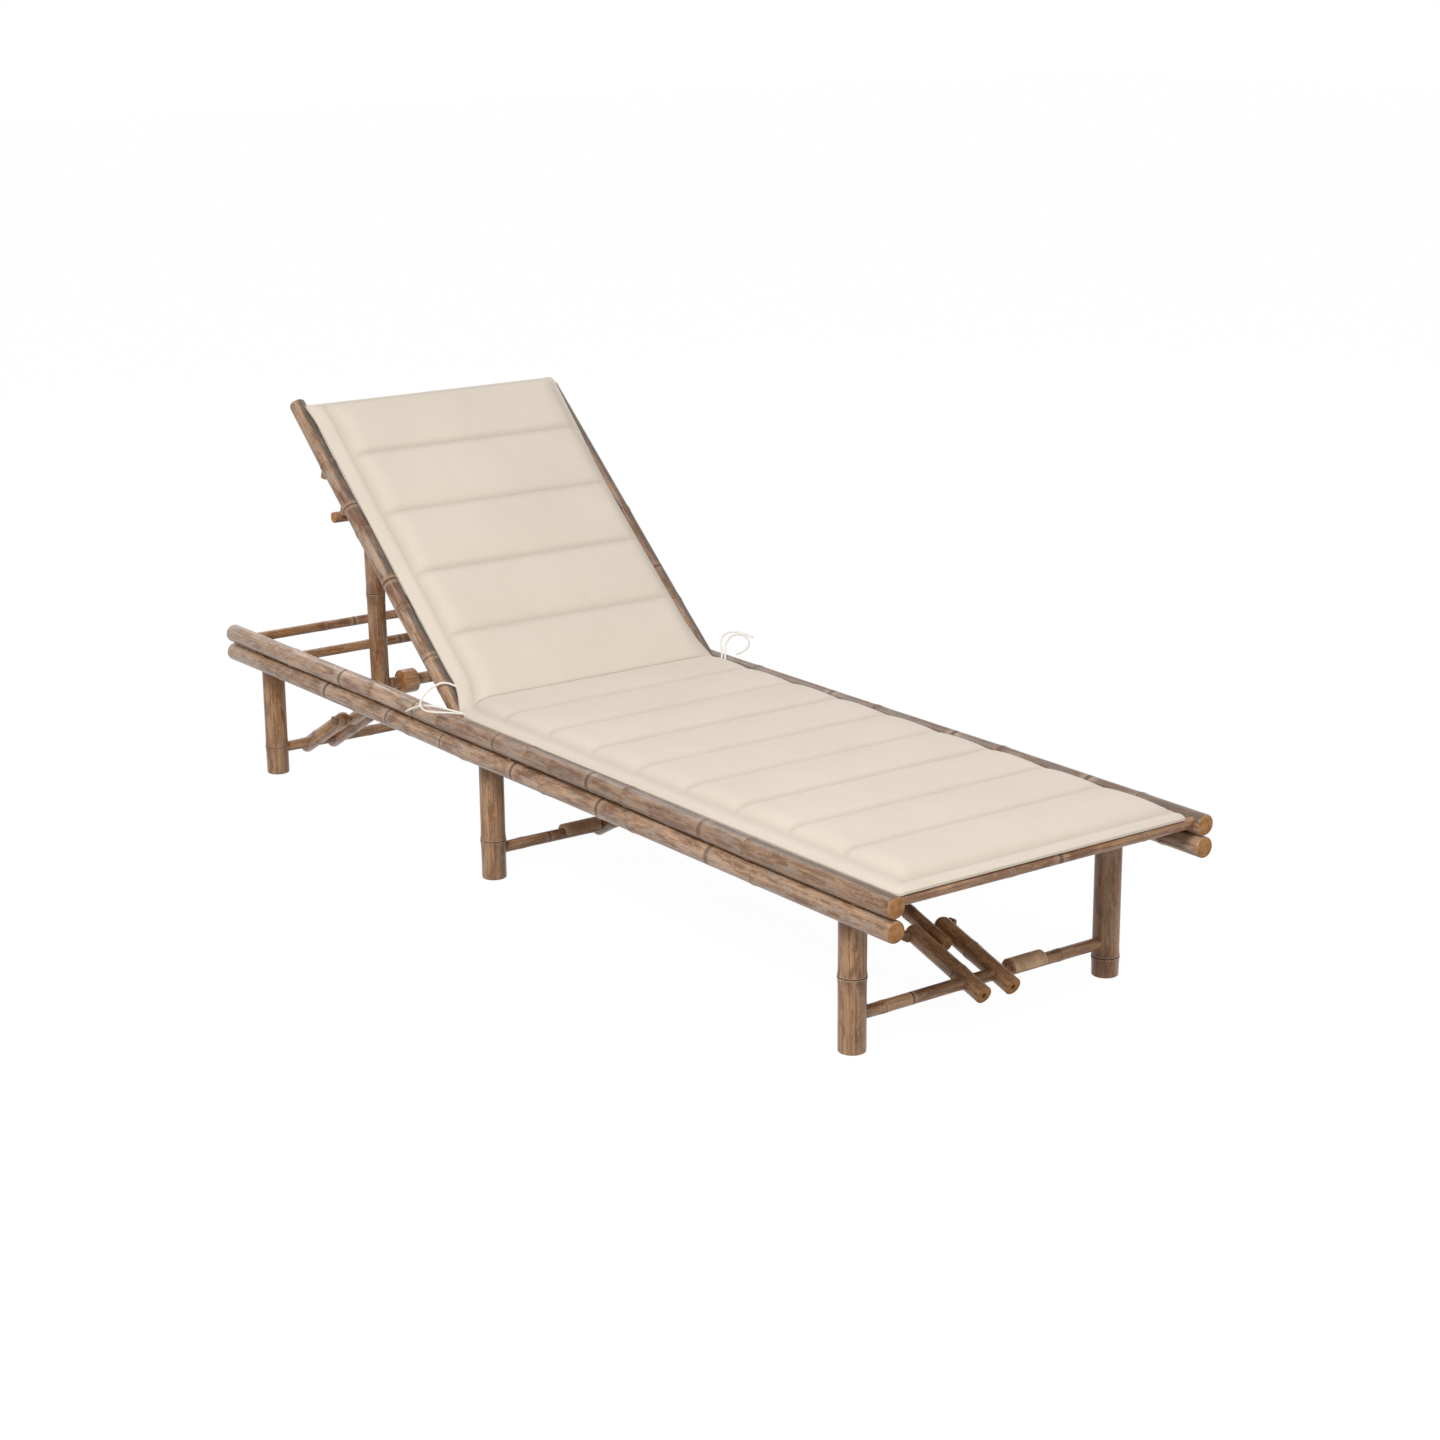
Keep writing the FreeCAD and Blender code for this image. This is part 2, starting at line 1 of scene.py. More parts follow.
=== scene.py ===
"""Bamboo sun lounger: poles with nodes and cut ends, split slats, a quilted cream pad and its tie strings."""
import json
import math
import random

import bpy
import numpy as np
from mathutils import Matrix, Vector

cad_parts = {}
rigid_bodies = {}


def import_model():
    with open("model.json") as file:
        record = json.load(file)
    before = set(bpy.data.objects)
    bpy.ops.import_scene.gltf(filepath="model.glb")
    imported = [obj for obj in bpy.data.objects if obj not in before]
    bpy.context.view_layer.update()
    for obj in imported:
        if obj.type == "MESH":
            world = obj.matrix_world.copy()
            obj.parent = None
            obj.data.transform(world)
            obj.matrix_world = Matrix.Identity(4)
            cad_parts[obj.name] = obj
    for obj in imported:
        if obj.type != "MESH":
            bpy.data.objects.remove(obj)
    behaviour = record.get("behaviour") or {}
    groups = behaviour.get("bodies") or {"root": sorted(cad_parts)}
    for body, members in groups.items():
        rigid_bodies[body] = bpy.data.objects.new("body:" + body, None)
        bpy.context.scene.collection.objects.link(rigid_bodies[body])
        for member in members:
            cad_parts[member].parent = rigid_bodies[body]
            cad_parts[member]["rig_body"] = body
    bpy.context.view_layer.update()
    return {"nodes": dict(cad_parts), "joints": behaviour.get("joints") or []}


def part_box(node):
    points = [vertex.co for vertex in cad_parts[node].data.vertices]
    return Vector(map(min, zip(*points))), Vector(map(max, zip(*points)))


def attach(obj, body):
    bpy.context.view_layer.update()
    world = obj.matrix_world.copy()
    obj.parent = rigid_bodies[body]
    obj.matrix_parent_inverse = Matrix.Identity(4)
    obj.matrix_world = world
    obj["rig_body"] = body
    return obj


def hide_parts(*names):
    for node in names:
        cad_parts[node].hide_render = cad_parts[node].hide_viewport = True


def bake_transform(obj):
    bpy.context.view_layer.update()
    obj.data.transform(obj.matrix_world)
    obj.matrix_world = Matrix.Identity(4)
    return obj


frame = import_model()
MM = 0.001
JOINTS = {joint["name"]: Vector(joint["pos_m"]) for joint in frame["joints"]}
ACROSS = Vector((1, 0, 0))
ALONG = Vector((0, 1, 0))
UP = Vector((0, 0, 1))
BACK_ANGLE = math.radians(41)
PEG_LEAN = math.radians(23)
BACK_ALONG = Vector((0, math.cos(BACK_ANGLE), math.sin(BACK_ANGLE)))
BACK_OUT = Vector((0, -math.sin(BACK_ANGLE), math.cos(BACK_ANGLE)))
HINGE = JOINTS["back_recline"]
LEG_PAIRS = ("front", "middle", "rear")
CAMERA_PLACE = (-2.671, -3.799, 1.589)


def deselect():
    bpy.ops.object.select_all(action="DESELECT")


def add_object(name, data):
    thing = bpy.data.objects.new(name, data)
    bpy.context.scene.collection.objects.link(thing)
    return thing


def make_camera():
    """Stands low off the foot end's left corner and looks along the lounger, as in the photograph."""
    focal_pixels = 2792
    image_width = 1440
    turn, dip, lean = (math.radians(angle) for angle in (36.40, 15.86, -0.415))
    forward = Vector((math.sin(turn) * math.cos(dip), math.cos(turn) * math.cos(dip), -math.sin(dip)))
    level = Vector((math.cos(turn), -math.sin(turn), 0))
    rise = level.cross(forward)
    right = level * math.cos(lean) + rise * math.sin(lean)
    top = rise * math.cos(lean) - level * math.sin(lean)
    data = bpy.data.cameras.new("photo_camera")
    data.sensor_width = 36
    data.lens = focal_pixels / image_width * data.sensor_width
    data.clip_end = 60
    camera = add_object("photo_camera", data)
    turned = Matrix((right, top, -forward)).transposed().to_4x4()
    camera.matrix_world = Matrix.Translation(CAMERA_PLACE) @ turned
    bpy.context.scene.camera = camera


make_camera()


# Finishes

class Socket:
    """A node's output with arithmetic on it."""

    def __init__(self, finish, link):
        self.finish = finish
        self.link = link

    def work(self, operation, *values):
        node = self.finish.node("ShaderNodeMath", {"operation": operation}, dict(enumerate(values)))
        return Socket(self.finish, node.outputs[0])

    def __add__(self, other):
        return self.work("ADD", self, other)

    def __sub__(self, other):
        return self.work("SUBTRACT", self, other)

    def __rsub__(self, other):
        return self.work("SUBTRACT", other, self)

    def __mul__(self, other):
        return self.work("MULTIPLY", self, other)

    def __abs__(self):
        return self.work("ABSOLUTE", self)

    __radd__ = __add__


class Finish:
    """A material and the nodes that make it."""

    def __init__(self, name):
        self.material = bpy.data.materials.new(name)
        self.material.use_nodes = True
        self.tree = self.material.node_tree
        self.shader = self.tree.nodes["Principled BSDF"]

    def node(self, kind, settings=None, inputs=None):
        node = self.tree.nodes.new(kind)
        for name, value in (settings or {}).items():
            setattr(node, name, value)
        for name, value in (inputs or {}).items():
            self.feed(node.inputs[name], value)
        return node

    def feed(self, socket, value):
        """Links a Socket or a bare output to an input, or sets the input's value."""
        if isinstance(value, Socket):
            self.tree.links.new(value.link, socket)
        elif hasattr(value, "is_output"):
            self.tree.links.new(value, socket)
        elif isinstance(value, tuple) and socket.type == "RGBA":
            socket.default_value = (*value, 1)
        else:
            socket.default_value = value

    def attribute(self, name, output):
        return Socket(self, self.node("ShaderNodeAttribute", {"attribute_name": name}).outputs[output])

    def noise(self, vector, scale, detail, roughness=0.55):
        inputs = {"Vector": vector, "Scale": scale, "Detail": detail, "Roughness": roughness}
        return Socket(self, self.node("ShaderNodeTexNoise", {}, inputs).outputs["Fac"])

    def grain(self, vector, stretch, detail=3.0, roughness=0.55, scale=1.0):
        """Noise that is finer along some axes than along others."""
        stretched = self.node("ShaderNodeVectorMath", {"operation": "MULTIPLY"}, {0: vector, 1: stretch})
        return self.noise(stretched.outputs[0], scale, detail, roughness)

    def band(self, value, low, high):
        """0 below low, 1 above high, smooth between."""
        settings = {"interpolation_type": "SMOOTHSTEP"}
        node = self.node("ShaderNodeMapRange", settings, {"Value": value, "From Min": low, "From Max": high})
        return Socket(self, node.outputs["Result"])

    def mix(self, factor, first, second):
        node = self.node("ShaderNodeMix", {"data_type": "RGBA"}, {"Factor": factor, 6: first, 7: second})
        return Socket(self, node.outputs[2])

    def layers(self, colour, *steps):
        """Lays colours over a colour, each where its pattern passes from low to high."""
        for pattern, low, high, share, over in steps:
            colour = self.mix(self.band(pattern, low, high) * share, colour, over)
        return colour

    def bump(self, height, distance, strength):
        inputs = {"Height": height, "Distance": distance, "Strength": strength}
        return Socket(self, self.node("ShaderNodeBump", {}, inputs).outputs["Normal"])

    def set(self, **values):
        for name, value in values.items():
            self.feed(self.shader.inputs[name.replace("_", " ")], value)
        return self.material


PALE = (0.55, 0.325, 0.175)
WARM = (0.39, 0.19, 0.082)
DARK = (0.082, 0.035, 0.016)
GREY = (0.36, 0.27, 0.195)
STAINED = (0.17, 0.078, 0.036)
FRECKLE = (0.05, 0.027, 0.016)
# Painted shade: the dark grey laid on the side of a pole that faces its shade_side
SHADED = (0.09, 0.077, 0.062)
NODE_STAIN = (0.15, 0.058, 0.03)
NODE_LIP_WEAR_AND_HIGHLIGHT = (0.56, 0.39, 0.26)
NODE_LINE = (0.035, 0.019, 0.012)


def bamboo_skin(name, pale, warm, grey, worn):
    """Weathered culm: streaks along the pole, worn patches, freckles, a dark line at each node, a pale lip
    beside it that is partly painted highlight, and painted shade on one side.
    """
    finish = Finish(name)
    place = finish.attribute("pole_place", "Vector")
    gap = finish.attribute("ring_gap", "Fac")
    tone = finish.attribute("pole_tone", "Fac")
    mark = finish.attribute("ring_mark", "Fac")
    top = finish.attribute("pole_top", "Fac")
    streaks = finish.grain(place, (330, 330, 4))
    fibres = finish.grain(place, (1500, 1500, 16))
    patches = finish.grain(place, (30, 30, 9))
    weather = finish.grain(place, (64, 64, 17), 5.0, 0.65, 1.3)
    freckles = finish.grain(place, (520, 520, 170), 2.0)
    scuffs = finish.grain(place, (210, 210, 52), 4.0, 0.7)
    blotches = finish.grain(place, (85, 85, 15), 4.0, 0.65)
    colour = finish.mix(finish.band(patches, 0.36, 0.64), pale, warm)
    colour = finish.layers(
        colour,
        (streaks, 0.44, 0.66, 0.5, DARK),
        (blotches, 0.48, 0.62, 0.62, STAINED),
        (scuffs, 0.52, 0.6, 0.7, pale),
        (weather, 0.5, 0.62, worn, grey),
        (fibres, 0.35, 0.75, 0.3, DARK),
        (freckles, 0.67, 0.73, 0.8, FRECKLE),
    )
    # Painted shade: dark grey on the side facing the pole's shade_side, mottled by the weather pattern
    colour = finish.mix(top * (0.62 + finish.band(weather, 0.35, 0.62) * 0.38), colour, SHADED)
    near = abs(gap)
    stain = (1 - finish.band(near, 0.002, 0.03)) * finish.band(blotches, 0.42, 0.56)
    colour = finish.mix(stain * mark * 0.8, colour, NODE_STAIN)
    # Pale lip beside each node: partly paler worn skin, partly a painted highlight on the node's ridge
    lip_wear_and_highlight = (1 - finish.band(near, 0.001, 0.0036)) * (mark * 0.45 + 0.1)
    colour = finish.mix(lip_wear_and_highlight, colour, NODE_LIP_WEAR_AND_HIGHLIGHT)
    line = (1 - finish.band(near, 0.0003, 0.0011)) * (mark * 0.75 + 0.25)
    colour = finish.mix(line * 0.9, colour, NODE_LINE)
    colour = finish.mix(tone, colour, DARK)
    rough = 0.3 + weather * 0.25 + line * 0.3
    normal = finish.bump(fibres * 0.5 + streaks * 0.6 + scuffs * 0.4 - line * 1.4, 0.0007, 0.7)
    finish.set(Coat_Weight=0.45, Coat_Roughness=0.17, Specular_IOR_Level=0.15)
    return finish.set(Base_Color=colour, Roughness=rough, Normal=normal)


def bamboo_cut(name):
    """Sawn end of a pole, paler, with the fibre ends as dots and a darker rim."""
    finish = Finish(name)
    place = finish.attribute("pole_place", "Vector")
    rim = finish.attribute("cut_reach", "Fac")
    dots = finish.grain(place, (1, 1, 0.2), 2.0, scale=1400.0)
    cloud = finish.grain(place, (1, 1, 0.2), 4.0, scale=90.0)
    colour = finish.mix(finish.band(cloud, 0.35, 0.68), (0.47, 0.235, 0.092), (0.31, 0.138, 0.05))
    colour = finish.layers(
        colour,
        (dots, 0.55, 0.7, 0.5, (0.16, 0.075, 0.036)),
        (rim, 0.9, 1.0, 0.5, (0.17, 0.085, 0.045)),
    )
    finish.set(Roughness=0.72, Specular_IOR_Level=0.25)
    return finish.set(Base_Color=colour, Normal=finish.bump(dots, 0.0004, 0.6))


def plain_bamboo(name, turn=0.0, pale=(0.42, 0.255, 0.15), dark=(0.2, 0.105, 0.058)):
    """Split bamboo or a turned pin, with its grain along the lounger."""
    finish = Finish(name)
    coordinates = finish.node("ShaderNodeTexCoord").outputs["Object"]
    turned = finish.node("ShaderNodeMapping", {}, {"Vector": coordinates, "Rotation": (-turn, 0, 0)}).outputs[0]
    streaks = finish.grain(turned, (320, 8, 320), 6.0)
    patches = finish.grain(turned, (22, 6, 22))
    between = tuple((light + deep) / 2 for light, deep in zip(pale, dark))
    colour = finish.mix(finish.band(patches, 0.4, 0.65), pale, between)
    colour = finish.layers(colour, (streaks, 0.48, 0.7, 0.7, dark))
    finish.set(Roughness=0.5 + streaks * 0.15, Specular_IOR_Level=0.25)
    return finish.set(Base_Color=colour, Normal=finish.bump(streaks, 0.0005, 0.5))


def pad_cloth():
    """Plain woven cream cover: a fine weave, slubs, and painted shade along the stitched seams and in the fold
    crease.
    """
    finish = Finish("cream_cloth")
    flat = finish.attribute("pad_place", "Vector")
    stitch = finish.attribute("stitch", "Fac")
    warp = finish.grain(flat, (1800, 90, 1), 2.0)
    weft = finish.grain(flat, (90, 1800, 1), 2.0)
    cloud = finish.noise(flat, 5.0, 3.0)
    weave = warp * 0.5 + weft * 0.5
    colour = finish.mix(finish.band(cloud, 0.3, 0.7), (0.72, 0.63, 0.527), (0.69, 0.602, 0.502))
    colour = finish.layers(colour, (weave, 0.38, 0.62, 0.14, (0.51, 0.45, 0.38)))
    # Painted shade along the seams and in the fold crease
    colour = finish.mix(stitch * 0.42, colour, (0.46, 0.4, 0.33))
    finish.set(Roughness=0.86, Sheen_Weight=0.2, Sheen_Roughness=0.5, Specular_IOR_Level=0.2)
    return finish.set(Base_Color=colour, Normal=finish.bump(weave, 0.0005, 0.35))


def string_cloth():
    """Off-white round string."""
    finish = Finish("tie_string")
    coordinates = finish.node("ShaderNodeTexCoord").outputs["Object"]
    lay = finish.noise(coordinates, 900.0, 2.0)
    colour = finish.mix(finish.band(lay, 0.35, 0.7), (0.9, 0.87, 0.81), (0.8, 0.76, 0.69))
    return finish.set(Base_Color=colour, Roughness=0.85, Normal=finish.bump(lay, 0.0003, 0.5))


SKIN = bamboo_skin("bamboo_skin", PALE, WARM, GREY, 0.3)
RAIL_SKIN = bamboo_skin("bamboo_skin_worn", (0.6, 0.39, 0.25), (0.4, 0.23, 0.13), (0.47, 0.38, 0.31), 0.75)
BRACE_SKIN = bamboo_skin("bamboo_skin_dark", (0.72, 0.42, 0.22), (0.52, 0.27, 0.13), GREY, 0.15)
CUT = bamboo_cut("bamboo_cut")
SPLIT = plain_bamboo("split_bamboo")
SPLIT_PALE = plain_bamboo("split_bamboo_pale", 0.0, (0.74, 0.5, 0.31), (0.36, 0.2, 0.1))
SPLIT_BACK = plain_bamboo("split_bamboo_back", BACK_ANGLE)
PIN = plain_bamboo("turned_pin", 0.0, (0.4, 0.24, 0.14), (0.17, 0.085, 0.045))
CLOTH = pad_cloth()
STRING = string_cloth()


# Poles

# How far along from a node, in millimetres, and how much of its radius the pole swells there
RING_SHAPE = (
    (-26, 0.0), (-12, 0.01), (-4, 0.04), (-1.4, 0.066), (-0.5, 0.03), (0, -0.02), (0.5, 0.03), (1.6, 0.056),
    (5, 0.022), (14, 0.0),
)
RING_CLEARANCE = 0.03
EDGE_TURNS = [math.radians(degrees) for degrees in (0, 22.5, 45, 67.5, 90)]
ROUND_STEPS = 8
SPIN_STEPS = 30
PITH_DEPTH = 1.6
PATTERN_SHIFT = 5
FAINTEST_MARK = 0.25
DARKEST_TONE = 0.16
# Painted shade on a pole starts and is full as its surface turns to face shade_side, and fades out over
# SHADE_FADE before shade_reach
SHADE_START, SHADE_FULL = 0.73, 0.73 + 1 / 7
SHADE_FADE = 0.06
SMOOTH_ANGLE = math.radians(38)
# Nodes whose places the photograph shows, in metres along their poles
UPPER_LEFT_RINGS = [0.335, 0.65, 0.932, 1.212, 1.45, 1.751]
UPPER_LEFT_TONES = [0.42, 0.36, 0.42, 0.32, 0.02, 0.0, 0.0]
LOWER_LEFT_RINGS = [0.318, 0.632, 0.889, 1.139, 1.32, 1.515, 1.798]
LEG_RINGS = {
    "front_leg_left": 0.118, "front_leg_right": 0.032, "middle_leg_left": 0.069, "middle_leg_right": 0.12,
    "rear_leg_left": 0.054, "rear_leg_right": 0.14,
}
LINK_RADIUS = 0.012
HALF_EYE = ACROSS * 0.015


def ramp(values, low, high):
    """0 below low, 1 above high, even between."""
    return np.clip((values - low) / (high - low), 0, 1)


def read_points(mesh):
    points = np.empty(len(mesh.vertices) * 3)
    mesh.vertices.foreach_get("co", points)
    return points.reshape(-1, 3)


def write_points(mesh, points):
    mesh.vertices.foreach_set("co", points.ravel())
    mesh.update()


def add_values(mesh, name, values):
    kind, field = ("FLOAT_VECTOR", "vector") if values.ndim == 2 else ("FLOAT", "value")
    attribute = mesh.attributes.new(name, kind, "POINT")
    attribute.data.foreach_set(field, values.astype(np.float32).ravel())


def node_points(node):
    """The points of each separate solid of a CAD node."""
    mesh = frame["nodes"][node].data
    keys = [tuple(round(c * 1e5) for c in vertex.co) for vertex in mesh.vertices]
    parent = {key: key for key in keys}

    def top(key):
        while parent[key] != key:
            parent[key] = parent[parent[key]]
            key = parent[key]
        return key

    for face in mesh.polygons:
        first = top(keys[face.vertices[0]])
        for corner in face.vertices[1:]:
            parent[top(keys[corner])] = first
    solids = {}
    for key in parent:
        solids.setdefault(top(key), []).append([c / 1e5 for c in key])
    return [np.array(points) for points in solids.values()]


def pole_runs(node, direction):
    """Start, end and radius of each pole of a node that lies along a direction."""
    runs = []
    axis = np.array(direction.normalized())
    side = np.array(direction.orthogonal().normalized())
    other = np.cross(axis, side)
    for points in node_points(node):
        reach, sideways, otherways = points @ axis, points @ side, points @ other
        radius = (otherways.max() - otherways.min()) / 2
        centre = side * (sideways.max() + sideways.min()) / 2
        centre += other * (otherways.max() + otherways.min()) / 2
        runs.append((Vector(centre + axis * reach.min()), Vector(centre + axis * reach.max()), radius))
    return sorted(runs, key=lambda run: tuple(round(c, 4) for c in run[0]))


def pole_outline(length, radius, rings, head, pith, edge):
    """Distance along and radius out, from the middle of one end to the middle of the other."""
    outline = [(0.0, 0.0)]
    if pith:
        outline = [(pith * PITH_DEPTH, 0.0), (pith * PITH_DEPTH, pith), (0.0, pith)]
    start_edge = [(edge * (1 - math.cos(turn)), radius - edge * (1 - math.sin(turn))) for turn in EDGE_TURNS]
    outline += start_edge
    for ring in rings:
        outline += [(ring + step * MM, radius * (1 + swell)) for step, swell in RING_SHAPE]
    if head == "round":
        for step in range(ROUND_STEPS):
            angle = math.pi / 2 * step / ROUND_STEPS
            outline.append((length - radius * (1 - math.sin(angle)), radius * math.cos(angle)))
    else:
        outline += [(length - reach, out) for reach, out in reversed(start_edge)]
    outline.append((length, 0.0))
    return outline


def spin(outline):
    """A pole along Z, turned from its outline."""
    mesh = bpy.data.meshes.new("pole")
    edges = [(number, number + 1) for number in range(len(outline) - 1)]
    mesh.from_pydata([(out, 0, reach) for reach, out in outline], edges, [])
    pole = add_object("pole", mesh)
    deselect()
    pole.select_set(True)
    bpy.context.view_layer.objects.active = pole
    bpy.ops.object.mode_set(mode="EDIT")
    bpy.ops.mesh.select_all(action="SELECT")
    bpy.ops.mesh.spin(steps=SPIN_STEPS, angle=2 * math.pi, center=(0, 0, 0), axis=(0, 0, 1))
    bpy.ops.mesh.select_all(action="SELECT")
    bpy.ops.mesh.remove_doubles(threshold=1e-5)
    bpy.ops.mesh.normals_make_consistent(inside=False)
    bpy.ops.object.mode_set(mode="OBJECT")
    return pole


def spun_pole(run, rings, seed, head="cut", pith=0.0, tone=0.0, tones=None, wander=0.0009, edge=0.0016,
              shade=0.0, shade_side=UP, shade_reach=3.0):
    """One pole, with its internodes a little out of line with each other.

    tone darkens it all and tones each internode. shade lays painted shade on the side that faces shade_side, up
    to shade_reach along.
    """
    start, end, radius = run
    length = (end - start).length
    draw = random.Random(seed)
    rings = sorted(ring for ring in rings if RING_CLEARANCE < ring < length - RING_CLEARANCE)
    pole = spin(pole_outline(length, radius, rings, head, pith, edge))
    mesh = pole.data
    points = read_points(mesh)
    along = points[:, 2].copy()
    shift = [draw.uniform(-PATTERN_SHIFT, PATTERN_SHIFT) for axis in range(3)]
    nearest = np.ones(len(points))
    marks = np.ones(len(points))
    for ring in rings:
        gaps = along - ring
        closer = np.abs(gaps) < np.abs(nearest)
        nearest = np.where(closer, gaps, nearest)
        marks = np.where(closer, draw.uniform(FAINTEST_MARK, 1), marks)
    drawn_tones = [draw.uniform(0, DARKEST_TONE) for internode in range(len(rings) + 1)]
    internode_tones = np.array(tones or drawn_tones)[np.searchsorted(rings, along)]
    outward = np.hypot(points[:, 0], points[:, 1]) / radius
    turn = np.array((end - start).to_track_quat("Z", "Y").to_matrix())
    facing = points[:, :2] / np.maximum(outward * radius, 1e-6)[:, None] @ turn[:, :2].T
    towards = facing @ np.array(shade_side.normalized())
    fade = 1 - ramp(along, shade_reach - SHADE_FADE, shade_reach)
    add_values(mesh, "pole_place", points + np.array(shift))
    add_values(mesh, "ring_gap", nearest)
    add_values(mesh, "cut_reach", outward)
    add_values(mesh, "ring_mark", marks)
    # Painted shade on the side facing shade_side, faded out past shade_reach
    add_values(mesh, "pole_top", shade * fade * ramp(towards, SHADE_START, SHADE_FULL))
    add_values(mesh, "pole_tone", tone + internode_tones)
    sawn = mesh.attributes.new("sawn", "INT", "FACE")
    for face in mesh.polygons:
        sawn_start = face.center.z < edge * 0.4 or face.center.xy.length < pith * 1.05
        sawn_end = head == "cut" and face.center.z > length - edge * 0.4
        sawn.data[face.index].value = int(sawn_start or sawn_end)
    for axis in (0, 1):
        moves = [0.0] + [draw.uniform(-wander, wander) for ring in rings] + [0.0]
        points[:, axis] += np.interp(along, [0.0] + rings + [length], moves)
    write_points(mesh, points @ turn.T + np.array(start))
    return pole


def finish_piece(name, parts, materials):
    """Joins parts into one smooth piece, with the second material on its sawn faces."""
    deselect()
    for part in parts:
        part.select_set(True)
    piece = parts[0]
    bpy.context.view_layer.objects.active = piece
    if len(parts) > 1:
        bpy.ops.object.join()
    piece.name = name
    piece.data.name = name
    piece.data.materials.clear()
    for material in materials:
        piece.data.materials.append(material)
    if "sawn" in piece.data.attributes:
        for face, value in zip(piece.data.polygons, piece.data.attributes["sawn"].data):
            face.material_index = value.value
    bpy.ops.object.shade_smooth_by_angle(angle=SMOOTH_ANGLE)
    return piece


def dress_node(node, parts, skin):
    """Makes the parts the bamboo piece that stands for a CAD node."""
    piece = finish_piece(node + "_culm", parts, [skin, CUT])
    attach(piece, frame["nodes"][node]["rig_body"])
    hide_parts(node)


def spread_rings(length, pitch, seed):
    """Places of the nodes along a pole, a little uneven."""
    draw = random.Random(seed)
    places = []
    place = draw.uniform(0.35, 0.8) * pitch
    while place < length:
        places.append(place)
        place += pitch * draw.uniform(0.82, 1.18)
    return places


def bamboo_node(node, direction, seed, pitch=0.2, rings=None, skin=SKIN, **shape):
    """Dresses a CAD node of one or more poles as bamboo, with nodes at rings or about a pitch apart."""
    parts = []
    for number, run in enumerate(pole_runs(node, direction)):
        places = rings or spread_rings((run[1] - run[0]).length, pitch, seed + number)
        parts.append(spun_pole(run, places, seed * 31 + number, **shape))
    dress_node(node, parts, skin)


def make_rails():
    shape = {"wander": 0.0013, "edge": 0.004, "skin": RAIL_SKIN}
    # left_shade and right_shade lay painted shade along each upper rail on its side next to the pad
    left_shade = {"shade": 1.0, "shade_side": UP + ACROSS * 0.25, "shade_reach": 1.15}
    right_shade = {"shade": 0.8, "shade_side": UP - ACROSS * 0.6, "tone": 0.15}
    left_shade["tones"] = UPPER_LEFT_TONES
    bamboo_node("upper_rail_left", ALONG, 11, rings=UPPER_LEFT_RINGS, **left_shade, **shape)
    bamboo_node("lower_rail_left", ALONG, 12, rings=LOWER_LEFT_RINGS, **shape)
    bamboo_node("upper_rail_right", ALONG, 13, pitch=0.3, **right_shade, **shape)
    bamboo_node("lower_rail_right", ALONG, 14, pitch=0.21, **shape)


def make_cross_poles():
    bamboo_node("foot_cross_rail", ACROSS, 20, rings=[0.22, 0.488], wander=0.0005, tone=0.1)
    bamboo_node("inner_rear_pole", ACROSS, 21, rings=[0.16, 0.35], wander=0.0004)
    for seed, node in enumerate(("outer_rear_pole", "front_brace_bar", "middle_brace_bar", "prop_bar",
                                 "back_hinge_rod", "seat_rungs"), start=22):
        bamboo_node(node, ACROSS, seed, pitch=0.21, wander=0.0005)
    for seed, node in enumerate(("back_top_bar", "back_rungs", "prop_rod"), start=31):
        bamboo_node(node, ACROSS, seed, wander=0.0005)


def make_back():
    # The back's side poles take painted shade on the side that faces their shade_side
    shape = {"wander": 0.0008, "edge": 0.004, "shade": 1.0, "skin": RAIL_SKIN}
    left = {"rings": [0.09, 0.26, 0.44, 0.6], "shade_side": BACK_OUT + ACROSS * 0.25}
    right = {"rings": [0.18, 0.4], "shade_side": BACK_OUT + ACROSS * 0.6, "tone": 0.3}
    bamboo_node("back_side_pole_left", BACK_ALONG, 41, **left, **shape)
    bamboo_node("back_side_pole_right", BACK_ALONG, 42, **right, **shape)
    peg_along = BACK_OUT * -math.cos(PEG_LEAN) - BACK_ALONG * math.sin(PEG_LEAN)
    for side in ("left", "right"):
        bamboo_node(f"back_pegs_{side}", peg_along, 43, pitch=1.0)


def make_prop():
    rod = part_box("prop_rod")
    rod_middle = (rod[0] + rod[1]) / 2
    prop_along = (rod_middle - JOINTS["prop_swing"]) * Vector((0, 1, 1))
    for seed, side in enumerate(("left", "right"), start=51):
        bamboo_node(f"prop_pole_{side}", prop_along, seed, rings=[0.2], wander=0.0004, tone=0.1)


def make_legs():
    for seed, (node, height) in enumerate(LEG_RINGS.items(), start=61):
        tone = 0.1 if node == "front_leg_left" else 0.0
        bamboo_node(node, UP, seed, rings=[height], wander=0.0006, tone=tone)
    for seed, name in enumerate(LEG_PAIRS, start=71):
        bamboo_node(f"{name}_stretcher", ACROSS, seed, rings=[0.049, 0.2, 0.4], wander=0.0005)


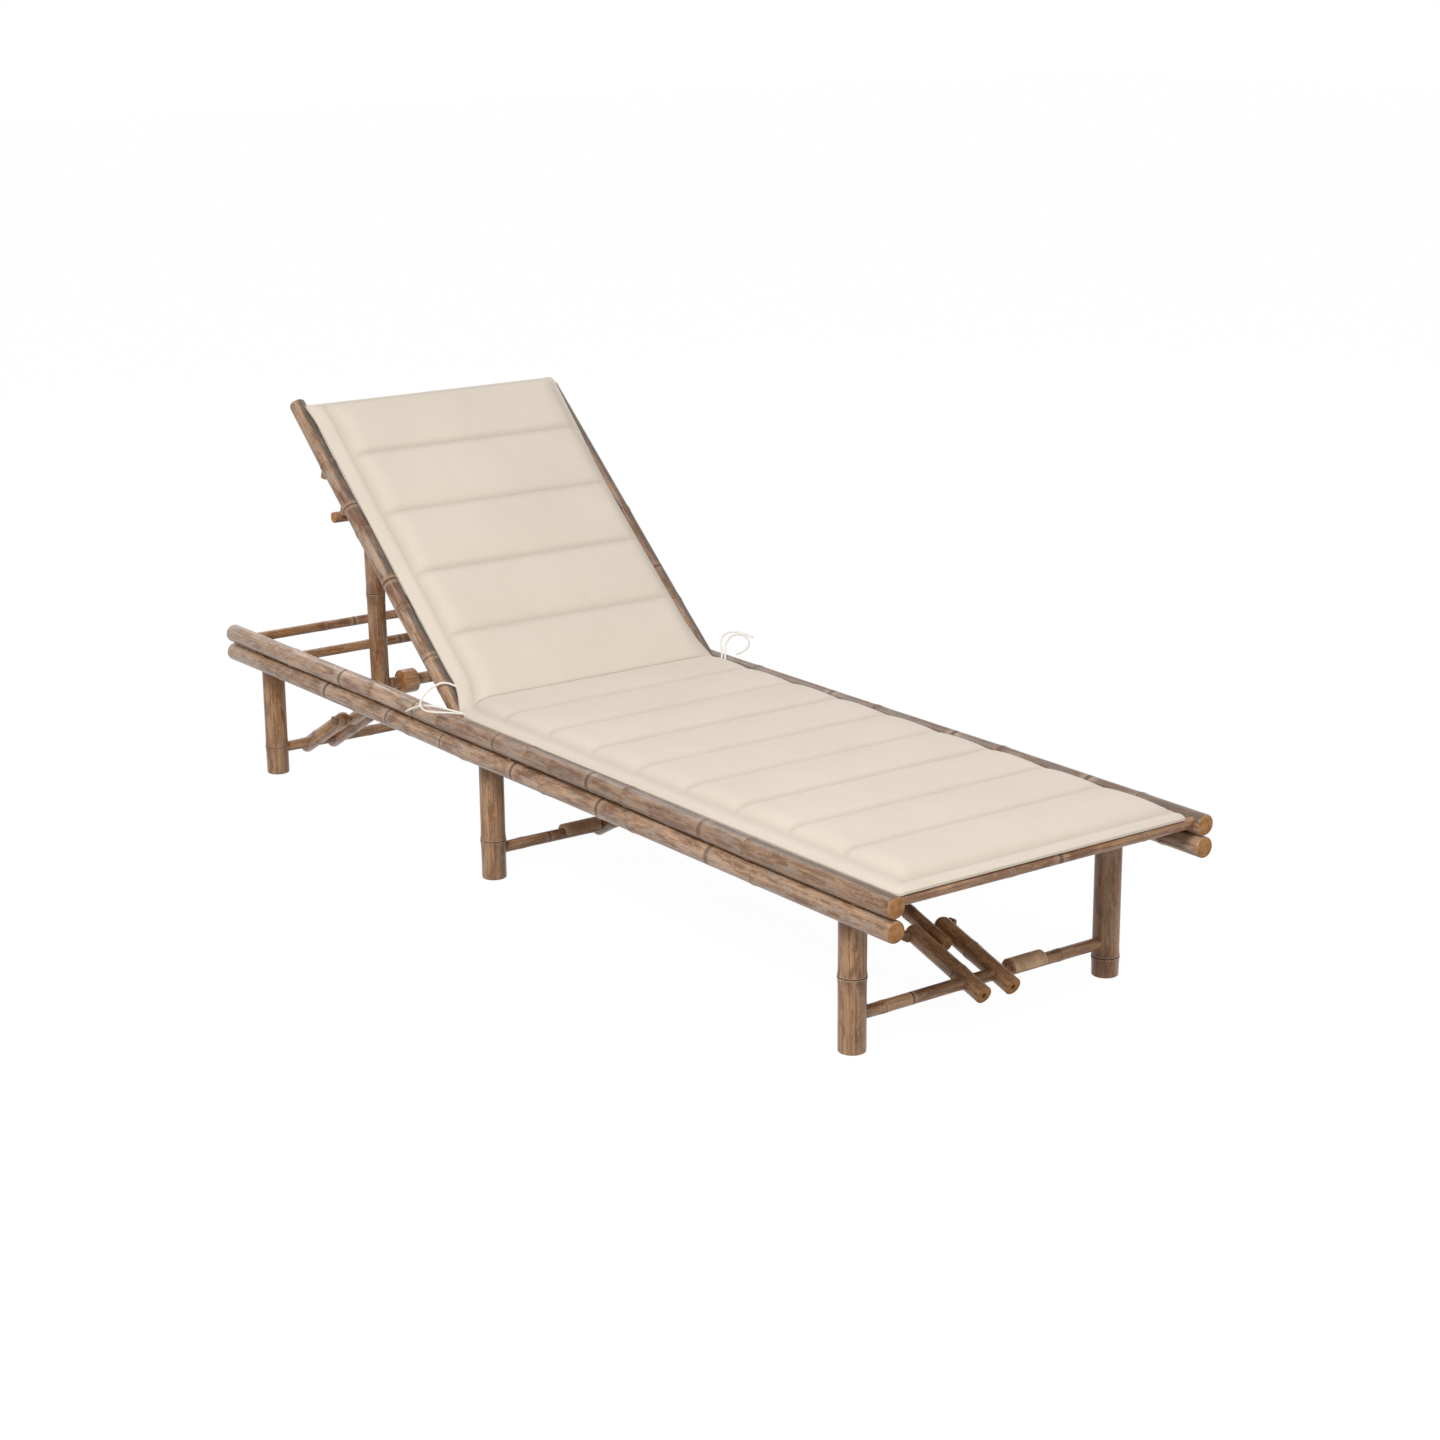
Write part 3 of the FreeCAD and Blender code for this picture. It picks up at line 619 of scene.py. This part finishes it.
def make_braces():
    """The two cheeks and the link of each pair of legs, the link with a round eye on its bar."""
    cheek_shape = {"skin": BRACE_SKIN, "head": "round", "pith": 0.004, "wander": 0.0}
    for seed, name in enumerate(LEG_PAIRS, start=81):
        bar = JOINTS[f"{name}_link_swing"]
        brace_along = bar - JOINTS[f"{name}_cheek_turn"]
        for side, ring in (("left", 0.06), ("right", 0.1)):
            bamboo_node(f"{name}_brace_cheek_{side}", brace_along, seed, rings=[ring], **cheek_shape)
        link = f"{name}_brace_link"
        low, high, eye_radius = pole_runs(link, brace_along)[0]
        middle = Vector(((low.x + high.x) / 2, bar.y, bar.z))
        tail_end = middle - brace_along.normalized() * ((high - low).length - eye_radius)
        stick_rings = spread_rings(0.5, 0.16, seed)
        stick = spun_pole((tail_end, middle, LINK_RADIUS), stick_rings, seed, wander=0.0)
        eye = spun_pole((middle - HALF_EYE, middle + HALF_EYE, eye_radius), [], seed + 5)
        dress_node(link, [stick, eye], BRACE_SKIN)


def dress_plain_nodes():
    """Slats, saddles and pins keep their CAD shapes and get their finish."""
    finishes = {"seat_slats": SPLIT, "back_slats": SPLIT_BACK, "rail_dowels": PIN, "leg_hinge_pins": PIN,
                "front_stretcher_clip": SPLIT_PALE, "middle_stretcher_clip": SPLIT_PALE}
    for name in LEG_PAIRS:
        finishes[f"{name}_knee_pins"] = PIN
        finishes[f"{name}_knee_core"] = PIN
    for node, material in finishes.items():
        mesh = frame["nodes"][node].data
        mesh.materials.clear()
        mesh.materials.append(material)


# The pad, laid out flat and then bent along the bed and up the back

# Flat sewn border: at the left and the foot end, at the right, and at the top
BORDER, FAR_BORDER, TOP_BORDER = 0.028, 0.01, 0.01
PAD_PITCH = 0.0075
PAD_WIDTH = 0.57
PAD_LIFT = 0.0183
BACK_END = 0.712
SEAT_SEAMS = [-0.827 + 0.130 * number for number in range(8)]
BACK_SEAMS = [0.156 + 0.139 * number for number in range(4)]
BEND_RADIUS = 0.03
CORNER_RADIUS = 0.011
RIGHT_FLARE, LEFT_FLARE = 0.014, 0.009
BORDER_HEIGHT, SEAM_HEIGHT, CROWN_HEIGHT = 0.0085, 0.0165, 0.0245
RIB_HEIGHT = 0.000105
RIM_WIDTH, RIM_SHARE = 0.006, 0.45
SIDE_RISE = 0.034
STITCH_CLEARANCE = 0.004
# Widths of the painted shade along the cross seams, the border seam and the fold crease; then how much of the
# border's shade and dip the far side keeps, and how strong the crease's shade is
CROSS_STITCH_WIDTH, BORDER_STITCH_WIDTH, CREASE_WIDTH = 0.0065, 0.0055, 0.006
FAR_STITCH, CREASE_SHADE = 0.12, 1.2
STITCH_DIP = 0.0022
TOP_DROOP, BACK_DROOP, SEAT_DROOP = 0.007, 0.0062, 0.0016
SIDE_POLE_RADIUS = 0.0155
SIDE_POLE_PLACE = 0.27
SIDE_POLE_CLEARANCE = 0.0004

SEAT_LOW, SEAT_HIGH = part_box("seat_pad")
BACK_LOW, BACK_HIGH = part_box("back_pad")
FOLD_REACH = (SEAT_LOW.z - HINGE.z - PAD_LIFT * math.cos(BACK_ANGLE)) / math.sin(BACK_ANGLE)
FOLD = Vector((0, HINGE.y + FOLD_REACH * math.cos(BACK_ANGLE) - PAD_LIFT * math.sin(BACK_ANGLE), SEAT_LOW.z))
SEAT_LENGTH = FOLD.y - SEAT_LOW.y
PAD_LENGTH = SEAT_LENGTH + BACK_END - FOLD_REACH
SEAMS = np.array([
    BORDER,
    *(place - SEAT_LOW.y for place in SEAT_SEAMS),
    SEAT_LENGTH,
    *(SEAT_LENGTH + place - FOLD_REACH for place in BACK_SEAMS),
    PAD_LENGTH - TOP_BORDER,
])

FILL_SHARE = 0.2
FILL_CAP = 0.0022
FILL_FRAMES = 20
HELD_WEIGHT = 0.3


def pad_grid():
    """Rows of s from the foot end to the top, one on each seam, and columns of u from -1 at the left to 1."""
    along = np.linspace(0, PAD_LENGTH, int(PAD_LENGTH / PAD_PITCH) + 1)
    for seam in SEAMS:
        along[np.abs(along - seam).argmin()] = seam
    return np.meshgrid(along, np.linspace(-1, 1, int(PAD_WIDTH / PAD_PITCH) + 1), indexing="ij")


def lay_out(s, u):
    """The flat outline: a seat wider than the back, rounded corners, and a top that flares."""
    share = ramp(s, SEAT_LENGTH - 0.05, SEAT_LENGTH + 0.07)
    share = share * share * (3 - 2 * share)
    left = SEAT_LOW.x + (BACK_LOW.x - SEAT_LOW.x) * share
    right = SEAT_HIGH.x + (BACK_HIGH.x - SEAT_HIGH.x) * share
    half = (right - left) / 2
    edge_gap = (1 - np.abs(u)) * half
    end_gap = np.minimum(s, PAD_LENGTH - s)
    in_corner = (edge_gap < CORNER_RADIUS) & (end_gap < CORNER_RADIUS)
    past = np.hypot(CORNER_RADIUS - edge_gap, CORNER_RADIUS - end_gap) - CORNER_RADIUS
    pull = np.where(in_corner, np.clip(past, 0, None) * 0.7, 0)
    x = (left + right) / 2 + u * half - np.sign(u) * pull
    right_flare = RIGHT_FLARE * ramp(s, PAD_LENGTH - 0.32, PAD_LENGTH - 0.02) ** 1.3
    left_flare = LEFT_FLARE * ramp(s, PAD_LENGTH - 0.06, PAD_LENGTH) ** 2
    x += np.sign(u) * ramp(np.abs(u), 0.75, 1) * np.where(u > 0, right_flare, left_flare)
    return x, s + np.where(s < PAD_LENGTH / 2, pull, -pull), edge_gap, end_gap


def quilt(s, u, edge_gap, end_gap):
    """Height of the cover over the underside, how much painted shade lies along the seams and in the fold
    crease, and how firmly points are held.
    """
    sewn_gap = np.where(s < PAD_LENGTH / 2, s, PAD_LENGTH - s + BORDER - TOP_BORDER)
    side_gap = np.where(u > 0, edge_gap + BORDER - FAR_BORDER, edge_gap)
    inner = np.minimum(side_gap, sewn_gap) - BORDER
    channel = np.clip(np.searchsorted(SEAMS, s, side="right") - 1, 0, len(SEAMS) - 2)
    puff = np.sin(np.pi * ramp(s, SEAMS[channel], SEAMS[channel + 1])) ** 0.5
    side_rise = np.sin(np.pi / 2 * ramp(inner, 0, SIDE_RISE)) ** 0.75
    rib = np.sin(s * 61 + np.sin(u * 5) * 2) + np.sin(u * 23 + s * 17)
    inside = SEAM_HEIGHT + (CROWN_HEIGHT + RIB_HEIGHT * rib - SEAM_HEIGHT) * puff
    top = np.where(inner > 0, BORDER_HEIGHT + (inside - BORDER_HEIGHT) * side_rise, BORDER_HEIGHT)
    corner = np.minimum(edge_gap, end_gap)
    top *= RIM_SHARE + (1 - RIM_SHARE) * np.sqrt(1 - (1 - ramp(corner, 0, RIM_WIDTH)) ** 2)
    seam_gap = np.min(np.abs(s[..., None] - SEAMS), axis=-1)
    across = np.where(inner > STITCH_CLEARANCE, 1.0, 0.0)
    # Painted shade in the fold crease between seat and back
    crease_shade = across * CREASE_SHADE * np.exp(-((s - SEAT_LENGTH) / CREASE_WIDTH) ** 2)
    cross_stitch = across * np.exp(-(seam_gap / CROSS_STITCH_WIDTH) ** 2)
    cross_stitch *= np.where(u > 0, ramp(inner, 0, 0.035), 1)
    border_stitch = np.exp(-(inner / BORDER_STITCH_WIDTH) ** 2)
    border_stitch *= np.where((u > 0) & (side_gap < sewn_gap), FAR_STITCH, 1)
    top -= STITCH_DIP * border_stitch * (corner > STITCH_CLEARANCE)
    # The seam lines carry painted shade on the cloth and also hold the cloth while it fills; the crease adds
    # its painted shade
    stitch = np.clip(np.maximum(cross_stitch, border_stitch), 0, 1) + crease_shade
    return top, stitch, np.maximum(stitch, inner < STITCH_CLEARANCE)


def pad_droop(s, x, edge_gap):
    """How far the pad sinks at its top and along its sides, as far as the back's side poles allow."""
    on_back = ramp(s, SEAT_LENGTH + 0.03, SEAT_LENGTH + 0.11)
    on_seat = 1 - ramp(s, SEAT_LENGTH - 0.08, SEAT_LENGTH)
    at_top = TOP_DROOP * ramp(s, PAD_LENGTH - 0.03, PAD_LENGTH) ** 1.5
    back_side = BACK_DROOP * on_back * (1 - ramp(edge_gap, 0, BORDER)) ** 1.3
    seat_side = SEAT_DROOP * on_seat * (1 - ramp(edge_gap, 0, 0.014))
    droop = np.maximum(np.maximum(at_top, back_side), seat_side)
    pole_height = np.sqrt(np.clip(SIDE_POLE_RADIUS ** 2 - (np.abs(x) - SIDE_POLE_PLACE) ** 2, 0, None))
    return np.where(on_back > 0, np.minimum(droop, PAD_LIFT - pole_height - SIDE_POLE_CLEARANCE), droop)


def pad_faces(rows, columns):
    """Quads of the top grid, of the grid under it, and of the four sides between them."""
    def index(row, column, below=0):
        return (below * rows + row) * columns + column

    faces = []
    for i in range(rows - 1):
        for j in range(columns - 1):
            faces.append((index(i, j), index(i, j + 1), index(i + 1, j + 1), index(i + 1, j)))
            faces.append((index(i, j, 1), index(i + 1, j, 1), index(i + 1, j + 1, 1), index(i, j + 1, 1)))
    last = columns - 1
    for i in range(rows - 1):
        faces.append((index(i, 0), index(i + 1, 0), index(i + 1, 0, 1), index(i, 0, 1)))
        faces.append((index(i, last), index(i, last, 1), index(i + 1, last, 1), index(i + 1, last)))
    last = rows - 1
    for j in range(columns - 1):
        faces.append((index(0, j), index(0, j, 1), index(0, j + 1, 1), index(0, j + 1)))
        faces.append((index(last, j), index(last, j + 1), index(last, j + 1, 1), index(last, j, 1)))
    return faces


def plump(pad, pins):
    """Fills the channels with a short cloth simulation, sewn lines and underside held."""
    group = pad.vertex_groups.new(name="sewn")
    for number, weight in enumerate(pins):
        if weight > HELD_WEIGHT:
            group.add([number], float(min(weight, 1)), "REPLACE")
    before = read_points(pad.data)
    cloth = pad.modifiers.new("fill", "CLOTH")
    settings = cloth.settings
    settings.quality = 5
    settings.mass = 0.3
    settings.tension_stiffness = 8
    settings.compression_stiffness = 8
    settings.bending_stiffness = 4
    settings.shrink_min = -0.008
    settings.use_pressure = True
    settings.uniform_pressure_force = 2.0
    settings.vertex_group_mass = "sewn"
    settings.effector_weights.gravity = 0
    scene = bpy.context.scene
    for number in range(1, FILL_FRAMES + 1):
        scene.frame_set(number)
    after = read_points(pad.evaluated_get(bpy.context.evaluated_depsgraph_get()).to_mesh())
    pad.modifiers.remove(cloth)
    scene.frame_set(1)
    write_points(pad.data, before + np.clip(after - before, -FILL_CAP, FILL_CAP) * FILL_SHARE)


def bend_pad(points):
    """Carries flat pad points onto the bed and, past the fold, up the back, round a soft bend."""
    x, s, height = points.T
    reach = BEND_RADIUS * math.tan(BACK_ANGLE / 2)
    past = s - SEAT_LENGTH
    turn = ramp(past, -reach, reach) * BACK_ANGLE
    stretches = [past < -reach, past > reach]
    y = np.select(stretches, [past, past * math.cos(BACK_ANGLE)], BEND_RADIUS * np.sin(turn) - reach)
    z = np.select(stretches, [past * 0, past * math.sin(BACK_ANGLE)], BEND_RADIUS * (1 - np.cos(turn)))
    return np.stack([x, FOLD.y + y - np.sin(turn) * height, FOLD.z + z + np.cos(turn) * height], -1)


def make_pad():
    s, u = pad_grid()
    x, placed_s, edge_gap, end_gap = lay_out(s, u)
    top, stitch, held = quilt(s, u, edge_gap, end_gap)
    droop = pad_droop(s, x, edge_gap)
    flat = np.concatenate([np.stack([x, placed_s, z], -1).reshape(-1, 3) for z in (top - droop, -droop)])
    mesh = bpy.data.meshes.new("pad")
    mesh.from_pydata(flat.tolist(), [], pad_faces(*s.shape))
    add_values(mesh, "pad_place", flat)
    add_values(mesh, "stitch", np.concatenate([stitch.ravel(), np.zeros(s.size)]))
    pad = add_object("quilted_pad", mesh)
    plump(pad, np.concatenate([held.ravel(), np.ones(s.size)]))
    write_points(mesh, bend_pad(read_points(mesh)))
    finish_piece("quilted_pad", [pad], [CLOTH])
    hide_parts("seat_pad", "back_pad")
    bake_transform(pad)


# The tie strings, in millimetres along the same routes as their solids

TIE_DIAMETER = 0.0035
TIES = {
    "left_tie_tail": [
        (-285.2, 181, 291.5), (-304, 194, 298), (-312, 218, 300), (-320, 246, 298), (-328, 272, 291),
        (-331, 296, 278),
    ],
    "left_tie_loop": [
        (-285.2, 171, 291.5), (-308, 168, 299), (-326, 174, 302), (-339, 194, 300), (-342, 220, 299),
        (-334, 244, 303), (-317, 260, 312), (-300, 260, 323), (-286, 250, 332), (-274, 241, 331),
        (-262.6, 236, 323.3),
    ],
    "right_tie_tail": [
        (271.5, 185, 295), (284, 201, 308), (290, 215, 325), (302, 213, 339), (318, 193, 341),
        (332, 169, 333),
    ],
    "right_tie_curl": [
        (271.5, 175, 295), (285, 193, 306), (294, 204, 319), (304, 203, 333), (316, 190, 338),
        (325, 175, 331), (324, 170, 318), (314, 175, 307), (301, 181, 303),
    ],
}


def make_ties():
    for node, route in TIES.items():
        places = [tuple(c * MM for c in place) for place in route]
        curve = bpy.data.curves.new(node + "_string", "CURVE")
        curve.dimensions = "3D"
        curve.bevel_depth = TIE_DIAMETER / 2
        curve.bevel_resolution = 3
        curve.use_fill_caps = True
        spline = curve.splines.new("NURBS")
        spline.points.add(len(places) - 1)
        for point, place in zip(spline.points, places):
            point.co = (*place, 1)
        spline.order_u = 3
        spline.use_endpoint_u = True
        spline.resolution_u = 8
        curve.materials.append(STRING)
        string = add_object(node + "_string", curve)
        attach(string, "root")
        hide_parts(node)


# Floor, air and lamps

WHITE = (1.0, 1.0, 1.0)
SHOWN_WHITE_BY = ("Is Glossy Ray", "Is Transmission Ray")
FLOOR_DROP = 0.0005
FLOOR_GLOW = 1.08
FLOOR_SHARE = 0.9
AIR_STRENGTH = 0.34
LAMP_AIM = Vector((0, 0, 0.3))
LAMPS = (
    ((-3.3, -2.1, 3.5), 1.7, 184),
    ((1.3, -4.4, 1.5), 2.2, 25),
    ((2.8, -1.0, 3.0), 2.4, 28),
    ((0.5, 3.4, 3.0), 2.4, 36),
)


def make_floor():
    """Plain floor that the camera and glossy faces see as white, and that keeps a faint shadow."""
    bpy.ops.mesh.primitive_plane_add(size=40, location=(0, 0, -FLOOR_DROP))
    floor = bpy.context.object
    floor.name = "studio_floor"
    finish = Finish("studio_white")
    finish.set(Base_Color=(0.5, 0.5, 0.5), Roughness=0.9)
    glow = finish.node("ShaderNodeEmission", {}, {"Color": WHITE, "Strength": FLOOR_GLOW})
    rays = finish.node("ShaderNodeLightPath").outputs
    seen = Socket(finish, rays["Is Camera Ray"])
    for kind in SHOWN_WHITE_BY:
        seen = seen.work("MAXIMUM", seen, rays[kind])
    blend = {0: seen * FLOOR_SHARE, 1: finish.shader.outputs[0], 2: glow.outputs[0]}
    surface = finish.node("ShaderNodeMixShader", {}, blend)
    finish.feed(finish.tree.nodes["Material Output"].inputs["Surface"], surface.outputs[0])
    floor.data.materials.append(finish.material)


def make_air():
    """World that lights evenly and is white where the camera and glossy faces see it."""
    world = bpy.data.worlds.new("studio_air")
    bpy.context.scene.world = world
    world.use_nodes = True
    tree = world.node_tree
    backgrounds = [tree.nodes["Background"], tree.nodes.new("ShaderNodeBackground")]
    for background, strength in zip(backgrounds, (AIR_STRENGTH, 1.0)):
        background.inputs["Color"].default_value = (*WHITE, 1)
        background.inputs["Strength"].default_value = strength
    rays = tree.nodes.new("ShaderNodeLightPath").outputs
    seen = rays["Is Camera Ray"]
    for kind in SHOWN_WHITE_BY:
        either = tree.nodes.new("ShaderNodeMath")
        either.operation = "MAXIMUM"
        tree.links.new(seen, either.inputs[0])
        tree.links.new(rays[kind], either.inputs[1])
        seen = either.outputs[0]
    mixer = tree.nodes.new("ShaderNodeMixShader")
    for socket, output in zip(mixer.inputs, (seen, backgrounds[0].outputs[0], backgrounds[1].outputs[0])):
        tree.links.new(output, socket)
    tree.links.new(mixer.outputs[0], tree.nodes["World Output"].inputs["Surface"])


def make_lamps():
    for place, width, power in LAMPS:
        data = bpy.data.lights.new("soft_lamp", "AREA")
        data.size = width
        data.energy = power
        light = add_object("soft_lamp", data)
        light.location = place
        light.rotation_euler = (LAMP_AIM - Vector(place)).to_track_quat("-Z", "Y").to_euler()


make_ties()
make_rails()
make_cross_poles()
make_back()
make_prop()
make_legs()
make_braces()
dress_plain_nodes()
make_pad()
make_floor()
make_air()
make_lamps()
bpy.context.scene.view_settings.view_transform = "Standard"
